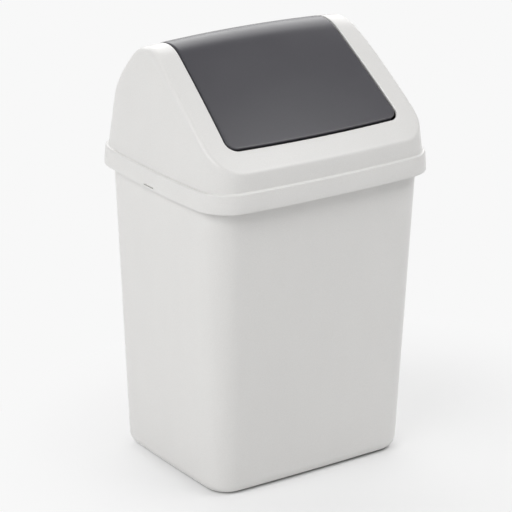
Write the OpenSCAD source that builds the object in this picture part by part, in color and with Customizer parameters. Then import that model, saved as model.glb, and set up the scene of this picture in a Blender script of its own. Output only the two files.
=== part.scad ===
// Countertop trash can with a swing lid: a tapered bucket, a lift-off hood whose skirt laps over the
// bucket's rim, and a flap over the hood's slope and crown that swings on two pins.
// Origin: middle of the footprint, on the surface the can stands on. +Z is up, the flap faces -Y.

/* [Bucket] */
// Outer width at the floor, across the middle of the sides
base_w = 169.5; // [150:0.5:180]
// Outer depth at the floor, across the middle of the front and back
base_d = 134.5; // [115:0.5:145]
// Outer width at the rim
rim_w = 191; // [182:0.5:215]
// Outer depth at the rim
rim_d = 153.5; // [148:0.5:175]
// Height of the bucket, from the surface it stands on to the top of its rim
body_h = 232; // [180:1:280]
// Thickness of the bucket's wall and floor
body_wall = 2; // [1.5:0.1:3]
// Radius of the bucket's upright corners at the floor
corner_r = 20; // [14:0.5:24]
// Radius of the bucket's upright corners at the rim
rim_corner_r = 24; // [18:0.5:27]
// Radius of the bucket's rounded bottom edge
edge_r = 9.3; // [5:0.1:12]
// Outward bow of each face at the floor
base_bow = 1.1; // [0.5:0.1:3]
// Outward bow of each face at the rim
rim_bow = 4.8; // [1:0.1:6]
// Height of the corner feet below the floor panel
foot_h = 1; // [0.6:0.1:2]
// Distance from the middle to the feet, across the width
foot_x = 62; // [50:1:68]
// Distance from the middle to the feet, along the depth
foot_y = 41; // [35:1:50]

/* [Rim] */
// Thickness of the flange that turns outward at the rim
flange_t = 2.2; // [1.5:0.1:3]
// Thickness of the lip that turns down from the flange
lip_t = 1.6; // [1.2:0.1:2]
// Height of that lip, with the flange
lip_h = 7; // [5:0.5:9]

/* [Hood] */
// How far the skirt stands out from the bucket's sides
skirt_over_x = 4.5; // [4.5:0.1:7]
// How far the skirt stands out from the bucket's front and back
skirt_over_y = 7.6; // [5:0.1:9]
// Height of the skirt
skirt_h = 14; // [13:0.5:22]
// Thickness of the skirt
skirt_wall = 2; // [1.5:0.1:2.4]
// Inward draft of the skirt over its height
skirt_draft = 0.9; // [0.2:0.1:1.2]
// Rounding of the skirt's top edge
skirt_round = 1.2; // [0.5:0.1:1.8]
// Radius of the skirt's upright corners
skirt_r = 27.5; // [22:0.1:30]
// Bow of the skirt's and the hood's faces
hood_bow = 4.6; // [1:0.1:6]
// Width of the ledge between the skirt and the hood's wall
ledge = 2.2; // [2:0.1:5]
// Thickness of that ledge, which sits on the rim
ledge_t = 2.2; // [1.5:0.1:3]
// Thickness of the hood's wall
hood_wall = 2.2; // [1.6:0.1:3]
// Inward lean of the hood's side walls, in degrees
hood_lean = 7.6; // [3:0.1:9]
// Growth of the hood's corner radius for each millimetre of height
corner_growth = 0.07; // [0:0.01:0.08]
// Height of the low front wall above the ledge, at the sides
front_rise = 9.7; // [6:0.1:16]
// Height of the crown above the ledge, at the sides
crown_rise = 79.7; // [70:0.1:90]
// Distance of the crown behind the middle
crown_y = 24; // [15:0.5:30]
// Radius of the crown
crown_r = 29.6; // [24:0.1:36]
// Radius of the long slope in front of the crown
slope_r = 1400; // [900:50:3000]
// Radius of the back, from the crown down to the ledge
back_r = 151; // [130:1:200]
// Rise of the crown and the slope from the sides to the middle
crown_bow = 3.6; // [1:0.1:5]
// Rounding between the slope and the side walls
slope_edge_r = 3.5; // [3.3:0.1:6]
// Rounding between the crown and the side walls
crown_edge_r = 6.5; // [6:0.1:11]

/* [Opening] */
// Width of the hood's border on each side of the opening's front
border = 19.9; // [17:0.1:24]
// Width of that border at the crown and behind it
crown_border = 18.5; // [17:0.1:24]
// Distance of the opening behind the front wall, at the middle
front_border = 14.7; // [10:0.1:20]
// Height of the opening's rear edge below the crown
rear_drop = 46; // [40:0.5:52]
// Bow of the opening's front edge
opening_bow = 2.2; // [1:0.1:6]
// Radius of the opening's corners
opening_r = 9; // [7:0.1:12]

/* [Flap] */
// Running gap at the flap's sides
side_gap = 1.4; // [0.8:0.1:2]
// Running gap at the flap's front and rear edges
end_gap = 2; // [1:0.1:3]
// Thickness of the flap
flap_wall = 2.2; // [1.6:0.1:2.8]
// Thickness of the stiffening lip under the flap's edge
flap_lip_t = 1.6; // [1.2:0.1:2.2]
// Depth of that lip below the flap's outer face
flap_lip_h = 5.5; // [4:0.1:6]

/* [Pivots] */
// Distance of the pivot line behind the middle
pivot_y = 6.8; // [2:0.05:10]
// Depth of the pivot line below the crown
pivot_drop = 14.5; // [14:0.1:18]
// Radius of the pivot pins
pin_r = 3; // [2:0.05:3.2]
// Radial running clearance of a pin in its lug
pin_clear = 0.05; // [0.02:0.01:0.1]
// Radius of a pin's head
pin_head_r = 4.5; // [4:0.1:5]
// Thickness of a pin's head
pin_head_t = 1.5; // [1:0.1:2.5]
// How far a pin passes through its lug
pin_over = 1.2; // [0.8:0.1:3]
// Chamfer on a pin's tip
pin_chamfer = 0.6; // [0.3:0.1:0.8]
// Thickness of the hood's bearing lugs
lug_t = 3.5; // [2.5:0.1:5]
// Radius of the rounded end of a lug
lug_r = 7; // [6:0.1:8]
// Distance of a lug outside the opening's edge
lug_offset = 4.5; // [3.5:0.1:7]
// Thickness of the flap's ears
ear_t = 3; // [2:0.1:4]
// Distance of an ear inside the flap's edge
ear_inset = 2; // [1.8:0.1:4]
// Radius of an ear's rounded end
ear_r = 6; // [5.4:0.1:7]
// Radius of the boss that spaces an ear from its lug
boss_r = 4.8; // [4.5:0.1:5]
// End clearance between that boss and the lug
boss_gap = 0.3; // [0.2:0.05:0.5]

/* [Catches] */
// Length of the catch slit in each side of the skirt
slit_l = 12.4; // [8:0.1:20]
// Height of the slit
slit_h = 1.1; // [0.8:0.1:1.6]
// Height of the slit above the skirt's bottom edge
slit_up = 1.4; // [1:0.1:2]
// Height of the catch bump above the slit
catch_h = 1.4; // [1:0.1:1.8]

/* [Fits] */
// Gap between the rim's top and the ledge that sits on it
seat_gap = 0.3; // [0.1:0.05:0.5]
// Gap between the rim's lip and the skirt
rim_gap = 0.7; // [0.5:0.05:1.2]
// Gap between a catch bump and the rim's lip
catch_gap = 0.3; // [0.2:0.05:0.4]

/* [Hidden] */
$fn = 48;

white = [0.87, 0.865, 0.86];
grey = [0.34, 0.34, 0.36];
pin_colour = [0.2, 0.2, 0.21];

side_steps = 6;    // stretches along half of a bowed side
corner_steps = 8;  // stretches round an upright corner
edge_steps = 6;    // stretches across a rounded edge
across_steps = 5;  // stretches from the middle to the side of the crown
meeting_rounds = 6; // rounds in which the meeting line of the walls and the top is found
least_round = 1;   // smallest rounding of an inset edge
past = 1;          // how far a cut runs past the face it leaves through
cut_up = 60;       // reach of the opening's prisms above the surface they cut
cut_down = flap_lip_h + 8; // and below it

skirt_top = body_h + seat_gap + ledge_t;
skirt_bottom = skirt_top - skirt_h;
skirt_w = rim_w + 2 * skirt_over_x;
skirt_d = rim_d + 2 * skirt_over_y;
hood_inset = skirt_draft + ledge;
hood_w = skirt_w - 2 * hood_inset;
hood_d = skirt_d - 2 * hood_inset;
hood_r = skirt_r - hood_inset;
lean = tan(hood_lean);

// ---- Bowed, rounded rectangles: four large side arcs joined by four corner arcs, all tangent ----

function sag_radius(chord, sag) = (chord * chord / 4 + sag * sag) / (2 * sag);

// centre of an arc of radius R that passes through p and touches the circle (c, r), which lies inside it
function touching_centre(c, r, p, R, turn) =
    let (gap = norm(p - c), a = R - r, t = (a * a - R * R + gap * gap) / (2 * gap),
         u = (p - c) / gap, h = sqrt(a * a - t * t))
    c + t * u + turn * h * [-u[1], u[0]];

// [side radius, end radius, corner radius, corner centre, first and last angle of the corner, w, d]
function outline_key(w, d, r, bow) =
    let (rs = sag_radius(d, bow), re = sag_radius(w, bow), a = w / 2 - rs, b = d / 2 - re,
         ra = rs - r, rb = re - r, gap = norm([a, b]), t = (ra * ra - rb * rb + gap * gap) / (2 * gap),
         u = [-a, b] / gap, c = [a, 0] + t * u + sqrt(ra * ra - t * t) * [-u[1], u[0]])
    [rs, re, r, c, atan2(c[1], c[0] - a), atan2(c[1] - b, c[0]), w, d];

// normal angle at step s of a quadrant: 0 to 1 on the side, 1 to 2 round the corner, 2 to 3 on the end
function step_angle(key, s) =
    s < 1 ? s * key[4] : s < 2 ? key[4] + (s - 1) * (key[5] - key[4]) : key[5] + (s - 2) * (90 - key[5]);

function quadrant_point(key, inset, s) =
    let (g = step_angle(key, s), n = [cos(g), sin(g)])
    s < 1 ? [key[6] / 2 - key[0], 0] + (key[0] - inset) * n :
    s < 2 ? key[3] + (key[2] - inset) * n : [0, key[7] / 2 - key[1]] + (key[1] - inset) * n;

quadrant_steps = [for (i = [0:side_steps - 1]) i / side_steps, for (i = [0:corner_steps - 1]) 1 + i / corner_steps,
                  for (i = [0:side_steps]) 2 + i / side_steps];
quadrant_signs = [[1, 1], [-1, 1], [-1, -1], [1, -1]];

// every [quadrant, step] of a full turn, in order
turn_steps = [for (q = [0:3], i = [0:len(quadrant_steps) - 2])
              [q, q % 2 == 0 ? quadrant_steps[i] : quadrant_steps[len(quadrant_steps) - 1 - i]]];

function turn_point(key, inset, qs) =
    let (p = quadrant_point(key, inset, qs[1]), m = quadrant_signs[qs[0]]) [p[0] * m[0], p[1] * m[1]];

function turn_normal(key, qs) =
    let (g = step_angle(key, qs[1]), m = quadrant_signs[qs[0]]) [cos(g) * m[0], sin(g) * m[1]];

function outline(key, inset) = [for (qs = turn_steps) turn_point(key, inset, qs)];

function ring(key, inset, z) = [for (p = outline(key, inset)) [p[0], p[1], z]];

// the convex solid round a list of points
module solid_round(points) {
    hull() polyhedron(points = points, faces = [[for (i = [0:len(points) - 1]) i]]);
}

// ---- Bucket ----

function body_key(z) =
    let (k = z / body_h)
    outline_key(base_w + (rim_w - base_w) * k, base_d + (rim_d - base_d) * k,
                corner_r + (rim_corner_r - corner_r) * k, base_bow + (rim_bow - base_bow) * k);

function skirt_key() = outline_key(skirt_w, skirt_d, skirt_r, hood_bow);

// the bucket's shape with all its faces moved inward
function body_points(inset, floor_z, top_z) =
    let (r = edge_r - inset)
    [for (i = [0:edge_steps]) let (g = 90 * i / edge_steps, z = floor_z + r * (1 - cos(g)))
     each ring(body_key(z), inset + r * (1 - sin(g)), z),
     each ring(body_key(top_z), inset, top_z)];

module rim_band(z, h, inset_out, inset_in) {
    translate([0, 0, z]) linear_extrude(h) difference() {
        polygon(outline(skirt_key(), inset_out));
        polygon(outline(skirt_key(), inset_in));
    }
}

module body() {
    rim_inset = skirt_draft + skirt_wall + rim_gap;
    color(white) difference() {
        union() {
            solid_round(body_points(0, 0, body_h));
            translate([0, 0, body_h - flange_t]) linear_extrude(flange_t) polygon(outline(skirt_key(), rim_inset));
            rim_band(body_h - lip_h, lip_h, rim_inset, rim_inset + lip_t);
        }
        solid_round(body_points(body_wall, foot_h + body_wall, body_h + past));
        translate([-foot_x, -base_d, -past]) cube([2 * foot_x, 2 * base_d, past + foot_h]);
        translate([-base_w, -foot_y, -past]) cube([2 * base_w, 2 * foot_y, past + foot_h]);
    }
}

// ---- Hood: the side profile is three tangent arcs, slope, crown and back ----

crown_c = [crown_y, skirt_top + crown_rise - crown_r];
front_point = [-hood_d / 2, skirt_top + front_rise];
back_point = [hood_d / 2, skirt_top];
slope_c = touching_centre(crown_c, crown_r, front_point, slope_r, 1);
back_c = touching_centre(crown_c, crown_r, back_point, back_r, -1);
slope_n = (crown_c - slope_c) / norm(crown_c - slope_c);
back_n = (crown_c - back_c) / norm(crown_c - back_c);

function profile_arc(y, inset) =
    y < crown_c[0] + slope_n[0] * (crown_r - inset) ? [slope_c, slope_r] :
    y < crown_c[0] + back_n[0] * (crown_r - inset) ? [crown_c, crown_r] : [back_c, back_r];

function profile_z(y, inset) =
    let (arc = profile_arc(y, inset), r = arc[1] - inset, dy = min(abs(y - arc[0][0]), r))
    arc[0][1] + sqrt(r * r - dy * dy);

function profile_normal(y) =
    let (arc = profile_arc(y, 0), dy = (y - arc[0][0]) / arc[1]) [dy, sqrt(max(0, 1 - dy * dy))];

function bow_at(x) = crown_bow * (1 - pow(2 * x / hood_w, 2));

function hood_key(z) =
    let (up = max(0, z - skirt_top)) outline_key(hood_w - 2 * lean * up, hood_d, hood_r + corner_growth * up, hood_bow);

// rounding of the top edge: small on the slope, large on the crown and the back
function edge_radius(y) =
    let (k = min(1, max(0, (y - crown_y + crown_r) / crown_r)))
    slope_edge_r + (crown_edge_r - slope_edge_r) * k * k * (3 - 2 * k);

// where the walls' inset outline meets the top's inset face, found by stepping down from the crown
function meeting_point(qs, inset, z, rounds) =
    let (p = turn_point(hood_key(z), inset, qs))
    rounds == 0 ? [p[0], p[1], z] : meeting_point(qs, inset, profile_z(p[1], inset) + bow_at(p[0]), rounds - 1);

function unit(v) = v / norm(v);

function hood_points(inset, bottom_z) =
    [each ring(hood_key(skirt_top), inset, bottom_z),
     for (qs = turn_steps)
         let (guess = meeting_point(qs, inset, skirt_top + crown_rise / 2, meeting_rounds),
              r = max(least_round, edge_radius(guess[1]) - inset),
              core = meeting_point(qs, inset + r, guess[2], meeting_rounds),
              side = turn_normal(hood_key(core[2]), qs), top = profile_normal(core[1]),
              out = unit([side[0], side[1], lean * abs(side[0])]), up = [0, top[0], top[1]])
         each concat([for (i = [0:edge_steps]) core + r * unit(out * (1 - i / edge_steps) + up * i / edge_steps)],
                     [for (i = [0:across_steps - 1])
                      let (x = core[0] * i / across_steps) [x, core[1], profile_z(core[1], inset) + bow_at(x)]])];

module hood_form(inset, bottom_z) {
    solid_round(hood_points(inset, bottom_z));
}

module skirt_form() {
    key = skirt_key();
    solid_round([each ring(key, 0, skirt_bottom),
                 for (i = [0:edge_steps]) let (g = 90 * i / edge_steps)
                 each ring(key, skirt_draft + skirt_round * (1 - cos(g)), skirt_top - skirt_round * (1 - sin(g)))]);
}

module skirt_space() {
    key = skirt_key();
    solid_round([each ring(key, skirt_wall - past * skirt_draft / skirt_h, skirt_bottom - past),
                 each ring(key, skirt_wall + skirt_draft, skirt_top - ledge_t)]);
}

// ---- Opening and flap: two prisms, one square to the slope, one along the rear edge's swing ----

pivot_z = skirt_top + crown_rise - pivot_drop;
front_y = -hood_d / 2 + front_border;
front_z = profile_z(front_y, 0) + crown_bow;
slope_angle = atan2(-profile_normal(front_y / 2)[0], profile_normal(front_y / 2)[1]);
rear_z = skirt_top + crown_rise - rear_drop;
rear_y = back_c[0] + sqrt(back_r * back_r - pow(rear_z - back_c[1], 2));
rear_angle = atan2(pivot_z - rear_z, rear_y - pivot_y);
rear_reach = norm([rear_y - pivot_y, rear_z - pivot_z]);

function side_edge(z, border) = hood_w / 2 - lean * (z - skirt_top) - border;
open_front = side_edge(front_z, border);
open_crown = side_edge(skirt_top + crown_rise, crown_border);
open_rear = side_edge(rear_z, crown_border);

// distance from the front edge, measured along the slope, to the crown
crown_reach = (crown_y - front_y) * cos(slope_angle) + (skirt_top + crown_rise - front_z) * sin(slope_angle);
// distance from the rear edge, measured towards the pivot line, to the crown
crown_back = rear_reach - (crown_y - pivot_y) * cos(rear_angle) + pivot_drop * sin(rear_angle);

function corner_arc(x, y, r, from, to) =
    [for (i = [0:corner_steps]) let (g = from + (to - from) * i / corner_steps) [x + r * cos(g), y + r * sin(g)]];

// half an outline that starts at the edge y = 0, narrows from half to open_crown at y = reach and runs on
function half_panel(half, reach, bow, side, end) =
    let (narrowing = (half - open_crown) / reach, r = opening_r - min(side, end), x = half - side - r,
         y = end + r + bow, last = reach + crown_bow + crown_edge_r)
    [for (i = [0:side_steps - 1]) let (k = i / side_steps) [x * k, end + bow * k * k],
     each corner_arc(x, y, r, -90, atan(narrowing)),
     [half - side - narrowing * last, last]];

module panel_shape(half, reach, bow, side, end) {
    right = half_panel(half, reach, bow, side, end);
    polygon([each right, for (i = [len(right) - 1:-1:1]) [-right[i][0], right[i][1]]]);
}

// the space of the opening, drawn in by a gap at the sides and a gap at the ends
module panel_space(side, end) {
    translate([0, front_y, front_z]) rotate([slope_angle, 0, 0]) translate([0, 0, -cut_down])
        linear_extrude(cut_up + cut_down)
            panel_shape(open_front, crown_reach, opening_bow, side, end);
    translate([0, pivot_y, pivot_z]) rotate([-rear_angle, 0, 0]) translate([0, rear_reach, -cut_down])
        linear_extrude(cut_up + cut_down) mirror([0, 1])
            panel_shape(open_rear, crown_back, 0, side, end);
}

lug_x = open_crown + lug_offset;
ear_x = open_crown - side_gap - ear_inset - ear_t;

// a plate beside the pivot line, rounded below and running up to the roof
module hanger(x, t, r) {
    translate([x, pivot_y, pivot_z]) rotate([90, 0, 90]) linear_extrude(t) {
        circle(r);
        translate([-r, 0]) square([2 * r, 2 * pivot_drop]);
    }
}

module pivot_cylinder(x, length, r) {
    translate([x, pivot_y, pivot_z]) rotate([0, 90, 0]) cylinder(h = length, r = r);
}

module both_sides() {
    children();
    mirror([1, 0, 0]) children();
}

// the bump above a slit: it points at the rim's lip and stops short of it
module catch() {
    tip = skirt_w / 2 - skirt_draft - skirt_wall - rim_gap + catch_gap;
    translate([tip, -slit_l / 2, skirt_bottom + slit_up + slit_h])
        cube([skirt_w / 2 - skirt_wall / 2 - tip, slit_l, catch_h]);
}

module hood() {
    color(white) {
        difference() {
            union() {
                difference() {
                    union() {
                        skirt_form();
                        hood_form(0, skirt_top - ledge_t);
                    }
                    skirt_space();
                    hood_form(hood_wall, skirt_top - ledge_t - past);
                }
                intersection() {
                    both_sides() hanger(lug_x, lug_t, lug_r);
                    hood_form(hood_wall / 2, skirt_top);
                }
                both_sides() catch();
            }
            panel_space(0, 0);
            both_sides() pivot_cylinder(lug_x - past, lug_t + 2 * past, pin_r + pin_clear);
            both_sides() translate([skirt_w / 2 - 2 * skirt_wall, -slit_l / 2, skirt_bottom + slit_up])
                cube([3 * skirt_wall, slit_l, slit_h]);
        }
    }
}

module flap() {
    color(grey) difference() {
        union() {
            intersection() {
                difference() {
                    hood_form(0, skirt_top);
                    hood_form(flap_wall, skirt_top - past);
                }
                panel_space(side_gap, end_gap);
            }
            intersection() {
                difference() {
                    hood_form(flap_wall / 2, skirt_top);
                    hood_form(flap_lip_h, skirt_top - past);
                    panel_space(side_gap + flap_lip_t, end_gap + flap_lip_t);
                }
                panel_space(side_gap, end_gap);
            }
            intersection() {
                both_sides() hanger(ear_x, ear_t, ear_r);
                hood_form(flap_wall / 2, skirt_top);
            }
            both_sides() pivot_cylinder(ear_x, lug_x - boss_gap - ear_x, boss_r);
        }
        both_sides() pivot_cylinder(ear_x - past, lug_x - ear_x + past, pin_r);
    }
}

// ---- Pivot pins ----

module pivot_pin() {
    length = lug_x + lug_t + pin_over - ear_x;
    translate([ear_x, pivot_y, pivot_z]) rotate([0, 90, 0]) rotate_extrude()
        polygon([[0, -pin_head_t], [pin_head_r, -pin_head_t], [pin_head_r, 0], [pin_r, 0],
                 [pin_r, length - pin_chamfer], [pin_r - pin_chamfer, length], [0, length]]);
}

module left_pivot_pin() {
    color(pin_colour) mirror([1, 0, 0]) pivot_pin();
}

module right_pivot_pin() {
    color(pin_colour) pivot_pin();
}

body();
hood();
flap();
left_pivot_pin();
right_pivot_pin();
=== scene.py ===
import math

import bmesh
import bpy
import numpy as np
from bpy.props import FloatProperty, PointerProperty, StringProperty
from mathutils import Matrix, Vector


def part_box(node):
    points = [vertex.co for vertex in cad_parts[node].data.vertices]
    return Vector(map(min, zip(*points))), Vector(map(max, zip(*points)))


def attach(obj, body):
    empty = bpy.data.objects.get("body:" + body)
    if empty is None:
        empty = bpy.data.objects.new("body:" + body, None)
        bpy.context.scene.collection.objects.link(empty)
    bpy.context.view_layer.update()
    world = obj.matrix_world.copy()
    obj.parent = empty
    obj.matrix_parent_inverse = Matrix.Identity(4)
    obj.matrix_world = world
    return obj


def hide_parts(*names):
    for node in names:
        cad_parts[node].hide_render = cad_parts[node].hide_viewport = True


bl_info = {
    "name": "Countertop trash can",
    "version": (1, 0, 0),
    "blender": (4, 5, 0),
    "location": "3D View > Sidebar > Trash can",
    "description": "A tapered bucket, a lift-off hood and a swing flap round their packed frame",
    "category": "Add Mesh",
}

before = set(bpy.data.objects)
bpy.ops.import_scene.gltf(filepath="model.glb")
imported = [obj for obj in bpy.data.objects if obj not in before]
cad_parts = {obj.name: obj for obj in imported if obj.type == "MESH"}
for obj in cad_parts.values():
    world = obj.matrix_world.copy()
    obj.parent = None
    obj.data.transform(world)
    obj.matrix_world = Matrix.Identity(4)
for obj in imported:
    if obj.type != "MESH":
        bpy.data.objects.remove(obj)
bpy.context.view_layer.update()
HOOD_LOW, HOOD_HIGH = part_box("hood")
MM = 0.001

# Stretches along half of a bowed side, round an upright corner and along half of the front or back
SIDE, CORNER, END = 20, 12, 16
QUADRANT = SIDE + CORNER + END
ROUND_STEPS = 8   # rows across a large rounded edge
LEDGE_STEPS = 6   # rows across the rounding of the skirt's top edge
EDGE_STEPS = 4    # rows across the rounding of a moulded edge
RIM_STEPS = 3     # rows across the rounding of the bucket's rim
FINE_STEPS = 2    # rows across the smallest roundings
BORDER_STEPS = 6  # rows across the hood's border
HOOD_ROWS = 6     # rows up the hood's walls
BUCKET_ROWS = 9   # rows up the bucket's wall
BAR_SIDES = 48    # sides of a round bar
TABLE_POINTS = 6001  # points at which the profile's arc length is known
SMOOTH = math.radians(32)  # faces that meet at less look smooth


def length(name, mm, description):
    """A size in Blender's own length unit, given in millimetres."""
    return FloatProperty(name=name, description=description, default=mm * MM, min=0, precision=4, unit="LENGTH")


def angle(name, degrees, description):
    """An angle, given in degrees."""
    return FloatProperty(name=name, description=description, default=math.radians(degrees), subtype="ANGLE")


def factor(name, value, description, high=1.0):
    """A plain number from 0 to high."""
    return FloatProperty(name=name, description=description, default=value, min=0, max=high, precision=3)


def power(name, watts, description):
    """The power of a lamp, in watts."""
    return FloatProperty(name=name, description=description, default=watts, min=0, unit="POWER")


def colour(name, value, description):
    """An sRGB hex colour."""
    return StringProperty(name=name, description=description, default=value, maxlen=7)


class BucketSizes(bpy.types.PropertyGroup):
    """Sizes of the bucket."""
    base_width: length("Base width", 169.5, "Outer width at the floor, from side to side")
    base_depth: length("Base depth", 134.5, "Outer depth at the floor, from front to back")
    rim_width: length("Rim width", 191, "Outer width of the wall at the rim")
    rim_depth: length("Rim depth", 153.5, "Outer depth of the wall at the rim")
    height: length("Height", 232, "Height of the rim's top above the floor")
    wall: length("Wall", 2, "Thickness of the wall and floor")
    base_corner: length("Corner radius at the base", 20, "Radius of the upright corners at the floor")
    rim_corner: length("Corner radius at the rim", 24, "Radius of the upright corners at the rim")
    bottom_edge: length("Bottom edge radius", 9.3, "Radius of the rounded bottom edge")
    base_bow: length("Bow at the base", 1.1, "Outward bow of each face at the floor")
    rim_bow: length("Bow at the rim", 4.8, "Outward bow of each face at the rim")
    foot_height: length("Foot height", 1, "Height of the corner feet below the floor panel")
    foot_x: length("Foot start across", 62, "Distance from the middle to the feet, in x")
    foot_y: length("Foot start along", 41, "Distance from the middle to the feet, in y")
    flange: length("Flange", 2.2, "Thickness of the flange at the rim")
    lip: length("Lip", 1.6, "Thickness of the lip that turns down from the flange")
    lip_height: length("Lip height", 7, "Height of that lip, with the flange")
    lip_gap: length("Lip gap", 0.7, "Gap between the lip and the hood's skirt")


class HoodSizes(bpy.types.PropertyGroup):
    """Sizes of the hood."""
    skirt_width: length("Skirt width", (HOOD_HIGH.x - HOOD_LOW.x) / MM, "Outer width of the skirt")
    skirt_depth: length("Skirt depth", (HOOD_HIGH.y - HOOD_LOW.y) / MM, "Outer depth of the skirt")
    skirt_low: length("Skirt bottom", HOOD_LOW.z / MM, "Height of the skirt's bottom edge")
    skirt_height: length("Skirt height", 14, "Height of the skirt")
    skirt_corner: length("Skirt corner radius", 27.5, "Radius of the skirt's upright corners")
    skirt_wall: length("Skirt wall", 2, "Thickness of the skirt")
    skirt_draft: length("Skirt draft", 0.9, "Inward draft of the skirt over its height")
    skirt_round: length("Skirt rounding", 1.2, "Rounding of the skirt's top edge")
    bow: length("Bow", 4.6, "Outward bow of the skirt's and the hood's faces")
    ledge: length("Ledge width", 2.2, "Width of the ledge above the skirt")
    ledge_thickness: length("Ledge thickness", 2.2, "Thickness of the ledge that sits on the rim")
    ledge_fillet: length("Ledge fillet", 0.7, "Fillet between the ledge and the wall")
    wall: length("Wall", 2.2, "Thickness of the hood's wall")
    lean: angle("Lean", 7.6, "Inward lean of the side walls")
    corner_growth: factor("Corner growth", 0.07, "Growth of the corner radius with height")
    front_rise: length("Front wall", 9.7, "Height of the front wall above the ledge, at the sides")
    crown_rise: length("Crown height", 79.7, "Height of the crown above the ledge, at the sides")
    crown_y: length("Crown place", 24, "Distance of the crown behind the middle")
    crown_radius: length("Crown radius", 29.6, "Radius of the crown")
    slope_radius: length("Slope radius", 1400, "Radius of the long slope in front of the crown")
    back_radius: length("Back radius", 151, "Radius of the back, from the crown to the ledge")
    crown_bow: length("Crown bow", 3.56, "Rise of the crown and slope from the sides to the middle")
    slope_edge: length("Slope edge radius", 3.5, "Rounding between the slope and the side walls")
    crown_edge: length("Crown edge radius", 6.5, "Rounding between the crown and the side walls")
    slit_length: length("Slit length", 12.4, "Length of the catch slit in each side of the skirt")
    slit_height: length("Slit height", 1.1, "Height of the slit")
    slit_up: length("Slit place", 1.4, "Height of the slit above the skirt's bottom edge")
    catch_height: length("Catch height", 1.4, "Height of the catch bump above the slit")


class OpeningSizes(bpy.types.PropertyGroup):
    """Sizes of the opening, and of the flap that fills it."""
    border: length("Border", 19.9, "Width of the hood's border beside the opening's front")
    crown_border: length("Crown border", 18.5, "Width of that border at the crown and behind it")
    front_border: length("Front border", 14.7, "Distance of the opening behind the front wall")
    rear_drop: length("Rear edge", 46, "Height of the opening's rear edge below the crown")
    front_bow: length("Front bow", 2.2, "Bow of the opening's front edge")
    corner: length("Corner radius", 9, "Radius of the opening's corners")
    blend: length("Blend", 1, "Softness of the side edge's turn at the crown")
    side_gap: length("Side gap", 1.4, "Running gap at the flap's sides")
    end_gap: length("End gap", 2, "Running gap at the flap's front and rear edges")
    hood_edge: length("Hood edge rounding", 0.4, "Rounding of the hood's edge at the gap")
    flap_edge: length("Flap edge rounding", 0.9, "Rounding of the flap's edge at the gap")
    flap_wall: length("Flap wall", 2.2, "Thickness of the flap")
    flap_lip: length("Flap lip", 1.6, "Thickness of the lip under the flap's edge")
    flap_lip_height: length("Flap lip depth", 5.5, "Depth of that lip below the flap's outer face")


class PivotSizes(bpy.types.PropertyGroup):
    """Sizes of the lugs and ears that carry the pivot pins."""
    y: length("Pivot place", 6.8, "Distance of the pivot line behind the middle")
    drop: length("Pivot drop", 14.5, "Depth of the pivot line below the crown")
    bore: length("Bore radius", 3.05, "Radius of the bores in the hood's lugs")
    lug: length("Lug thickness", 3.5, "Thickness of the hood's lugs")
    lug_radius: length("Lug radius", 7, "Radius of a lug's round end")
    lug_offset: length("Lug offset", 4.5, "Distance of a lug outside the opening's edge")
    ear: length("Ear thickness", 3, "Thickness of the flap's ears")
    ear_inset: length("Ear inset", 2, "Distance of an ear inside the flap's edge")
    ear_radius: length("Ear radius", 6, "Radius of an ear's round end")
    boss_radius: length("Boss radius", 4.8, "Radius of the boss between an ear and its lug")
    boss_gap: length("Boss gap", 0.3, "End clearance between the boss and the lug")
    edge: length("Edge rounding", 0.4, "Rounding of the lugs' and ears' edges")


class Plastics(bpy.types.PropertyGroup):
    """Colours and gloss of the three plastics."""
    pale: colour("Pale plastic", "#E3E2E0", "Colour of the bucket and the hood")
    dark: colour("Dark plastic", "#47464B", "Colour of the flap")
    pin: colour("Pin plastic", "#3A3A3D", "Colour of the pivot pins")
    pale_roughness: factor("Pale roughness", 0.3, "Roughness of the bucket and the hood")
    dark_roughness: factor("Dark roughness", 0.3, "Roughness of the flap")
    pin_roughness: factor("Pin roughness", 0.45, "Roughness of the pivot pins")


class Studio(bpy.types.PropertyGroup):
    """The camera, the floor and the soft lights."""
    azimuth: angle("Azimuth", -34.752, "Turn of the camera round the can")
    elevation: angle("Elevation", 20.314, "Height of the camera above the horizon")
    roll: angle("Roll", 0.484, "Turn of the picture")
    distance: length("Distance", 1948.801, "Distance of the camera from the can")
    shift_right: length("Aim across", 4.683, "Place of the can's base right of the picture's middle")
    shift_down: length("Aim below", 140.399, "Place of the can's base below the picture's middle")
    lens: FloatProperty(name="Lens", description="Focal length in mm on a 36 mm sensor", default=181.64, min=1)
    floor: colour("Floor", "#F2F2F2", "Colour of the floor")
    # painted contact shadow: this dark colour is painted on the floor right under the can's edge, where the
    # shade falls
    contact: colour("Contact", "#282828", "Colour of the floor right under the can's edge")
    background: colour("Background", "#F8F8F8", "Colour of the background and of the far floor")
    ceiling: colour("Ceiling", "#88888A", "Colour of the room overhead, as gloss shows it")
    key: power("Key light", 21, "Power of the softbox on the left")
    back: power("Back light", 19, "Power of the softbox behind, on the right")
    front: power("Front light", 12, "Power of the softbox in front, on the right")
    fill: factor("Fill", 0.3, "Strength of the light that comes from all round", 2.0)


# ---- Outlines: four bowed sides joined by four round corners, all tangent ----

def once_round():
    """For each column of a piece: its step (0 at a side's middle, 1 and 2 at the ends of the corner,
    3 at the middle of the front or back) and the signs of its x and y."""
    run = np.concatenate([np.arange(SIDE) / SIDE, 1 + np.arange(CORNER) / CORNER, 2 + np.arange(END + 1) / END])
    steps, signs = [], []
    for x, y, part in ((1, 1, run[:-1]), (-1, 1, run[:0:-1]), (-1, -1, run[:-1]), (1, -1, run[:0:-1])):
        steps.append(part)
        signs.append(np.tile((x, y), (len(part), 1)))
    return np.concatenate(steps), np.concatenate(signs)


STEP, SIGN = once_round()


def sag_radius(chord, sag):
    """Radius of the arc that rises by sag over chord."""
    return (chord * chord / 4 + sag * sag) / (2 * sag)


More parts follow.
